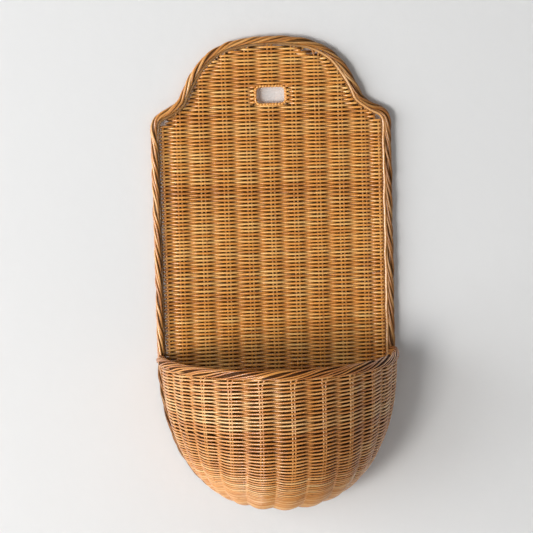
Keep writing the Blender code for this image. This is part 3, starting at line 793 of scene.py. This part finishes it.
def pocket_stakes():
    """Pairs of stakes from the seam up into the rim, along the stake lines, a little apart. They
    spread in a V just below the rim, by 2.6 mm s^1.5, and lean over to the right inside it, by
    9 mm s^2, where s is the share of that stretch."""
    rise = np.concatenate([np.linspace(0.002, 0.9, 60), np.linspace(0.9, 0.995, 16)[1:]])
    strands = []
    half = POCKET_BAYS // 2
    facing = np.cos(corner_angles(ROD_SIDES))
    for pair in range(1 - half, half):
        for side in (-1, 1):
            turn = stake_line(pair / half, rise)
            _, _, per_turn, _ = bowl_frame(turn, rise)
            spread = STAKE_SPREAD * ramp(rise, 0.92, 0.07) ** 1.5
            lean = STAKE_LEAN * ramp(rise, 0.955, 0.04) ** 2
            apart = side * (POCKET_PAIR_SPACING / 2 + spread) + lean
            apart = apart + wander(rise, 0.0002, (0.31, 0.47), 60 + 2 * pair + side)
            point, outward, _, _ = bowl_frame(turn + apart / per_turn, rise)
            path = point + (0.0004 + lobe(rise))[:, None] * outward
            rings = skin(path, outward, STAKE_RADIUS, STAKE_RADIUS, ROD_SIDES)
            # Painted shade on the inner side of each stake, inside the pocket
            shaded = np.clip(-facing * 2, 0, 1) * pocket_shade(rings[:, :, 2])
            strands.append((rings, False, (0.13 * pair + 0.3 * side) % 1, shaded))
    return strands


def rim_strands():
    """The rim: each stake's end laid along it. A strand leaves its stake low on the outside,
    climbs over the top and goes down inside, a = -75 to 220 degrees round an oval section."""
    half = POCKET_BAYS / 2
    middle = LOWEST + RIM_TOP - RIM_HEIGHT / 2
    over = np.array([0, 0, 1.0])
    strands = []
    for layer, (count, run, deep, tall, radius, shift, layer_shade) in enumerate(RIM_LAYERS):
        for index in range(-int(count * run / POCKET_BAYS) - 1, count + 1):
            start = (index + shift) / count * POCKET_BAYS
            seed = 8000 + 100 * layer + index
            chance = np.random.default_rng(seed).random(3)
            length = run * (0.9 + 0.2 * chance[0])
            bay = np.linspace(start, start + length, int(length * 9))
            share = (bay - start) / length
            keep = (bay >= 0) & (bay <= POCKET_BAYS)
            if keep.sum() < 4:
                continue
            share, bay = share[keep], bay[keep]
            angle = np.radians(RIM_FIRST_ANGLE + RIM_SWEEP * share)
            angle = angle + wander(bay, 0.22, (1.3, 2.3, 3.7), seed)
            side = np.pi / 2 * (bay / half - 1)
            across = BOWL_HALF * np.sin(side)
            out = BOWL_DEPTH * np.cos(side)
            line = np.stack([across, -SEAM_OUT - out, np.full(len(bay), middle)], axis=1)
            level = np.zeros(len(side))
            normal = [np.sin(side) / BOWL_HALF, -np.cos(side) / BOWL_DEPTH, level]
            normal = unit(np.stack(normal, axis=1))
            facing = normal * np.cos(angle)[:, None] + over * np.sin(angle)[:, None]
            path = line + normal * (deep * np.cos(angle))[:, None]
            path = path + over * (tall * np.sin(angle))[:, None]
            size = radius * (0.93 + 0.14 * chance[1])
            rings = skin(path, facing, size, size * 1.05, ROD_SIDES)
            # Painted shade on the side turned to the rim's middle and in the grooves, and over the
            # whole inner layer
            shaded = np.maximum(weave_shade(np.ones(len(path)), ROD_SIDES, 1.0), layer_shade)
            strands.append((rings, False, chance[2], shaded))
    return strands


# Materials

# How far the shade of a strand goes: its own tone, slow changes, patches and fibres
TONE_RANGE = (-0.24, 0.44)
SLOW_SHARE = 0.22
PATCH_SHARE = 0.16
FIBRE_SHARE = 0.16
TONE_SHIFT = 37.0
JOINTS_IN_A_METRE = 4.3
# Share of the painted shade colour mixed in at full painted shade
PAINTED_SHADE_STRENGTH = 0.96

# Pale and honey shade of each kind of strand, and the index of its waxy coat
BROWN = (0.38, 0.10, 0.012)
RATTANS = {
    "woven_rattan": ((0.98, 0.55, 0.16), (0.87, 0.35, 0.054), 1.8),
    "pocket_rattan": ((0.89, 0.52, 0.20), (0.72, 0.285, 0.053), 1.8),
    "border_rattan": ((0.88, 0.47, 0.15), (0.65, 0.255, 0.042), 1.8),
    # The rim's shades are darker than the others', partly as painted shade over the rim
    "rim_rattan": ((0.80, 0.345, 0.062), (0.53, 0.17, 0.017), 1.8),
    "stake_rattan": ((0.82, 0.47, 0.17), (0.66, 0.28, 0.065), 1.8),
    "back_stake_rattan": ((0.80, 0.44, 0.14), (0.64, 0.26, 0.055), 1.35),
    "frame_rattan": ((0.86, 0.51, 0.23), (0.72, 0.35, 0.105), 1.8),
}


def new_group(name, inputs, outputs):
    """An empty shader node group with its inputs and outputs."""
    group = bpy.data.node_groups.new(name, "ShaderNodeTree")
    for label, kind, value in inputs:
        socket = group.interface.new_socket(label, in_out="INPUT", socket_type=kind)
        socket.default_value = value
    for label, kind in outputs:
        group.interface.new_socket(label, in_out="OUTPUT", socket_type=kind)
    return group, group.nodes.new("NodeGroupInput"), group.nodes.new("NodeGroupOutput")


def maths(tree, operation, first, second=None, third=None):
    """A Math node fed by sockets or numbers."""
    node = tree.nodes.new("ShaderNodeMath")
    node.operation = operation
    for socket, value in zip(node.inputs, (first, second, third)):
        if value is None:
            continue
        if isinstance(value, bpy.types.NodeSocket):
            tree.links.new(value, socket)
        else:
            socket.default_value = value
    return node.outputs[0]


def blend_colours(tree, share, first, second, mode="MIX"):
    """A colour Mix node fed by sockets or colours."""
    node = tree.nodes.new("ShaderNodeMix")
    node.data_type = "RGBA"
    node.blend_type = mode
    for socket, value in zip((node.inputs[0], node.inputs[6], node.inputs[7]), (share, first, second)):
        if isinstance(value, bpy.types.NodeSocket):
            tree.links.new(value, socket)
        else:
            socket.default_value = value
    return node.outputs[2]


def map_range(tree, value, low, high, to_low, to_high):
    """A Map Range node from one stretch of numbers to another."""
    node = tree.nodes.new("ShaderNodeMapRange")
    tree.links.new(value, node.inputs[0])
    for socket, number in zip(node.inputs[1:5], (low, high, to_low, to_high)):
        socket.default_value = number
    return node.outputs[0]


def noise(tree, vector, scale, detail, roughness=0.5):
    """A Noise texture's value at a vector."""
    node = tree.nodes.new("ShaderNodeTexNoise")
    node.inputs["Scale"].default_value = scale
    node.inputs["Detail"].default_value = detail
    node.inputs["Roughness"].default_value = roughness
    tree.links.new(vector, node.inputs["Vector"])
    return node.outputs["Fac"]


def roughen(tree, shader, height, distance, strength):
    """Bump of a shader's surface: height times distance, by its strength."""
    bump = tree.nodes.new("ShaderNodeBump")
    bump.inputs["Distance"].default_value = distance
    bump.inputs["Strength"].default_value = strength
    tree.links.new(height, bump.inputs["Height"])
    tree.links.new(bump.outputs[0], shader.inputs["Normal"])


def show_either(tree, share, first, second, output):
    """Show one shader, and the other where the share is one."""
    either = tree.nodes.new("ShaderNodeMixShader")
    for source, socket in zip((share, first.outputs[0], second.outputs[0]), either.inputs):
        tree.links.new(source, socket)
    tree.links.new(either.outputs[0], tree.nodes[output].inputs["Surface"])


def strand_shade_group():
    """Shade of one rattan strand: its own tone, slow changes along it, fine fibres, and a
    darker joint here and there. Painted shade mixes in a near-black colour, roughens the surface and
    thins the coat."""
    group, into, out = new_group(
        "strand_shade",
        [
            ("Along", "NodeSocketVector", (0, 0, 0)),
            ("Place", "NodeSocketVector", (0, 0, 0)),
            ("Tone", "NodeSocketFloat", 0.5),
            ("PaintedShade", "NodeSocketFloat", 0.0),
            ("Pale", "NodeSocketColor", (0.8, 0.5, 0.2, 1)),
            ("Honey", "NodeSocketColor", (0.6, 0.3, 0.1, 1)),
            ("Brown", "NodeSocketColor", (0.3, 0.12, 0.03, 1)),
            ("ShadeColour", "NodeSocketColor", (0.018, 0.005, 0.001, 1)),
        ],
        [
            ("Colour", "NodeSocketColor"),
            ("Roughness", "NodeSocketFloat"),
            ("Wax", "NodeSocketFloat"),
            ("Relief", "NodeSocketFloat"),
        ],
    )
    parts = group.nodes.new("ShaderNodeSeparateXYZ")
    group.links.new(into.outputs["Along"], parts.inputs[0])
    shifted = maths(group, "MULTIPLY_ADD", into.outputs["Tone"], TONE_SHIFT, parts.outputs[1])
    slow_place = group.nodes.new("ShaderNodeCombineXYZ")
    group.links.new(shifted, slow_place.inputs[1])
    slow = noise(group, slow_place.outputs[0], 26.0, 2.0)
    fibre_place = group.nodes.new("ShaderNodeCombineXYZ")
    group.links.new(maths(group, "MULTIPLY", parts.outputs[0], 9.0), fibre_place.inputs[0])
    group.links.new(maths(group, "MULTIPLY", shifted, 55.0), fibre_place.inputs[1])
    fibres = noise(group, fibre_place.outputs[0], 2.2, 3.0, 0.65)
    patch = noise(group, into.outputs["Place"], 16.0, 2.0)
    light = map_range(group, into.outputs["Tone"], 0.0, 1.0, *TONE_RANGE)
    for texture, share in ((slow, SLOW_SHARE), (patch, PATCH_SHARE), (fibres, FIBRE_SHARE)):
        light = maths(group, "ADD", light, map_range(group, texture, 0.3, 0.7, -share, share))
    to_pale = map_range(group, light, 0.0, 0.62, 0.0, 1.0)
    to_brown = map_range(group, light, 0.0, -0.7, 0.0, 0.8)
    colour = blend_colours(group, to_pale, into.outputs["Honey"], into.outputs["Pale"])
    colour = blend_colours(group, to_brown, colour, into.outputs["Brown"])
    joint = maths(group, "FRACT", maths(group, "MULTIPLY", shifted, JOINTS_IN_A_METRE))
    joint = maths(group, "ABSOLUTE", maths(group, "SUBTRACT", joint, 0.5))
    joint = map_range(group, joint, 0.0, 0.012, 0.5, 0.0)
    colour = blend_colours(group, joint, colour, into.outputs["Brown"])
    # Painted shade: the near-black ShadeColour mixed in by the PaintedShade input
    shade_share = maths(group, "MULTIPLY", into.outputs["PaintedShade"], PAINTED_SHADE_STRENGTH)
    colour = blend_colours(group, shade_share, colour, into.outputs["ShadeColour"])
    group.links.new(colour, out.inputs["Colour"])
    rough = map_range(group, fibres, 0.3, 0.7, 0.36, 0.56)
    rough = maths(group, "ADD", rough, maths(group, "MULTIPLY", into.outputs["PaintedShade"], 0.4))
    group.links.new(rough, out.inputs["Roughness"])
    wax = maths(group, "SUBTRACT", 1.0, into.outputs["PaintedShade"])
    group.links.new(wax, out.inputs["Wax"])
    relief = maths(group, "SUBTRACT", fibres, maths(group, "MULTIPLY", joint, 0.6))
    group.links.new(relief, out.inputs["Relief"])
    return group


def rattan(name, shade, pale, honey, gloss):
    """Rattan: the strand's shade and fibres, with painted shade mixed in, and a waxy coat whose
    index is the gloss, and which thins out as 1 minus the painted shade."""
    material = bpy.data.materials.new(name)
    material.use_nodes = True
    tree = material.node_tree
    shader = tree.nodes["Principled BSDF"]
    along = tree.nodes.new("ShaderNodeUVMap")
    along.uv_map = "along_strand"
    place = tree.nodes.new("ShaderNodeTexCoord")
    effect = tree.nodes.new("ShaderNodeGroup")
    effect.node_tree = shade
    tree.links.new(along.outputs[0], effect.inputs["Along"])
    tree.links.new(place.outputs["Object"], effect.inputs["Place"])
    for label, attribute in (("Tone", "strand_tone"), ("PaintedShade", "strand_painted_shade")):
        node = tree.nodes.new("ShaderNodeAttribute")
        node.attribute_name = attribute
        tree.links.new(node.outputs["Fac"], effect.inputs[label])
    for label, colour in (("Pale", pale), ("Honey", honey), ("Brown", BROWN)):
        effect.inputs[label].default_value = (*colour, 1)
    tree.links.new(effect.outputs["Colour"], shader.inputs["Base Color"])
    tree.links.new(effect.outputs["Roughness"], shader.inputs["Roughness"])
    roughen(tree, shader, effect.outputs["Relief"], 0.00012, 0.6)
    tree.links.new(effect.outputs["Wax"], shader.inputs["Coat Weight"])
    shader.inputs["Specular IOR Level"].default_value = 0.15
    shader.inputs["Coat Roughness"].default_value = 0.26
    shader.inputs["Coat IOR"].default_value = gloss
    return material


def backdrop_material(name, colour, grain):
    """Pale backdrop, seen and shading on its front only, so that views from behind stay clear."""
    material = bpy.data.materials.new(name)
    material.use_nodes = True
    tree = material.node_tree
    shader = tree.nodes["Principled BSDF"]
    shader.inputs["Base Color"].default_value = (*colour, 1)
    shader.inputs["Roughness"].default_value = 0.9
    place = tree.nodes.new("ShaderNodeTexCoord")
    roughen(tree, shader, noise(tree, place.outputs["Object"], 60.0, 4.0), 0.002, grain)
    clear = tree.nodes.new("ShaderNodeBsdfTransparent")
    side = tree.nodes.new("ShaderNodeNewGeometry")
    ray = tree.nodes.new("ShaderNodeLightPath")
    gone = maths(tree, "MAXIMUM", side.outputs["Backfacing"], ray.outputs["Is Shadow Ray"])
    show_either(tree, gone, shader, clear, "Material Output")
    return material


# Stage, light and camera


def backdrop(name, corners, material):
    """A flat staged sheet through four corners, facing the side from which they run round."""
    mesh = bpy.data.meshes.new(name)
    mesh.from_pydata(corners, [], [(0, 1, 2, 3)])
    sheet = bpy.data.objects.new(name, mesh)
    bpy.context.scene.collection.objects.link(sheet)
    mesh.materials.append(material)


# Wall and floor: gap behind the basket, drop of the floor below it, and reach of both
WALL_GAP = 0.0055
FLOOR_DROP = 0.16
ROOM_REACH = 4
FLOOR_FRONT = -6

# Place, size, power and colour of each lamp, all turned to one place on the basket
LAMP_TARGET = (0, -0.05, -0.25)
LAMPS = {
    "window": ((-3.42, -4.76, -0.95), 1.5, 183, (1.0, 0.985, 0.97)),
    "left_room": ((-5.2, -2.6, 0.1), 4.2, 276, (0.955, 0.975, 1.0)),
    "right_room": ((3.0, -4.4, 2.4), 2.0, 9, (1.0, 0.97, 0.94)),
    "behind": ((0.7, 2.2, 0.6), 1.4, 13, (1.0, 1.0, 1.0)),
}


def put(item, right, up, back, place):
    """Link a lamp or the camera, with its three axes and its place as columns of its matrix."""
    bpy.context.scene.collection.objects.link(item)
    rows = [[right[i], up[i], back[i], place[i]] for i in range(3)]
    item.matrix_world = Matrix(rows + [[0, 0, 0, 1]])


def area_lamp(name, place, size, power, colour):
    """A soft square lamp that points at the lamps' target."""
    lamp = bpy.data.lights.new(name, "AREA")
    lamp.size = size
    lamp.energy = power
    lamp.color = colour
    back = unit(np.array(place, float) - np.array(LAMP_TARGET, float))
    right = unit(np.cross([0, 0, 1.0], back))
    put(bpy.data.objects.new(name, lamp), right, np.cross(back, right), back, place)


def soft_light():
    """Plain daylight: a weak even sky, one window to the left with a broad lamp beside it, a weak
    lamp to the right and another behind. Seen past the object, the sky is a plain pale grey."""
    world = bpy.data.worlds.new("even_sky")
    world.use_nodes = True
    tree = world.node_tree
    sky = tree.nodes["Background"]
    sky.inputs["Color"].default_value = (0.93, 0.96, 1.0, 1)
    sky.inputs["Strength"].default_value = 0.185
    plain = tree.nodes.new("ShaderNodeBackground")
    ray = tree.nodes.new("ShaderNodeLightPath")
    seen = maths(tree, "MAXIMUM", ray.outputs["Is Camera Ray"], ray.outputs["Is Glossy Ray"])
    seen = maths(tree, "MAXIMUM", seen, ray.outputs["Is Transmission Ray"])
    room, backdrop_grey = (0.22, 0.22, 0.23, 1), (0.74, 0.74, 0.73, 1)
    room = blend_colours(tree, ray.outputs["Is Camera Ray"], room, backdrop_grey)
    tree.links.new(room, plain.inputs["Color"])
    show_either(tree, seen, sky, plain, "World Output")
    bpy.context.scene.world = world
    for name, values in LAMPS.items():
        area_lamp(name, *values)


def place_camera():
    """A long lens a little to the left and above, rolled by the basket's slight lean."""
    camera = bpy.data.cameras.new("camera")
    camera.sensor_width = 36.0
    camera.lens = 155.08
    camera.clip_end = 60
    item = bpy.data.objects.new("camera", camera)
    right = (0.99368, -0.10936, -0.0255)
    up = (0.03796, 0.1134, 0.99282)
    back = (-0.10568, -0.98751, 0.11684)
    place = (-0.34939, -3.16004, 0.12524)
    put(item, right, up, back, place)
    bpy.context.scene.camera = item


def main():
    """Make the ten pieces, then the wall and floor, the light and the camera."""
    names = sorted(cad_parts)
    shade = strand_shade_group()
    looks = {name: rattan(name, shade, *values) for name, values in RATTANS.items()}
    weave, pocket = looks["woven_rattan"], looks["pocket_rattan"]
    border, rim = looks["border_rattan"], looks["rim_rattan"]
    rods, back_rods = looks["stake_rattan"], looks["back_stake_rattan"]
    rows = back_rows()
    half = len(rows) // 2
    make_piece("back_rows_lower", rows[:half], THIN_SIDES, weave, ["back_weave"])
    make_piece("back_rows_upper", rows[half:], THIN_SIDES, weave, ["back_weave"])
    stakes = [n for n in names if n.startswith(("back_stake", "edge_stake"))]
    make_piece("back_stake_rods", back_stakes(), ROD_SIDES, back_rods, stakes)
    ring = [round_frame()]
    make_piece("frame_rod", ring, THICK_SIDES, looks["frame_rattan"], ["back_frame"])
    make_piece("border_roll", border_strands(), THICK_SIDES, border, ["back_border"])
    make_piece("slot_winding", slot_winding(), THIN_SIDES, weave, ["slot_binding"])
    lower, upper = pocket_rows()
    make_piece("pocket_rows_lower", lower, THIN_SIDES, pocket, ["pocket_weave"])
    make_piece("pocket_rows_upper", upper, THIN_SIDES, pocket, ["pocket_weave"])
    stakes = [n for n in names if n.startswith("pocket_stake")]
    make_piece("pocket_stake_rods", pocket_stakes(), ROD_SIDES, rods, stakes)
    make_piece("rim_roll", rim_strands(), ROD_SIDES, rim, ["pocket_rim"])
    wall = backdrop_material("pale_wall", (0.755, 0.752, 0.745), 0.15)
    floor = backdrop_material("pale_floor", (0.80, 0.80, 0.79), 0.05)
    foot, far, gap = LOWEST - FLOOR_DROP, ROOM_REACH, WALL_GAP
    corners = [(-far, gap, foot), (far, gap, foot), (far, gap, far), (-far, gap, far)]
    backdrop("wall", corners, wall)
    corners = [(-far, FLOOR_FRONT, foot), (far, FLOOR_FRONT, foot), (far, far, foot), (-far, far, foot)]
    backdrop("floor", corners, floor)
    soft_light()
    place_camera()
    bpy.context.scene.view_settings.view_transform = "Standard"


main()
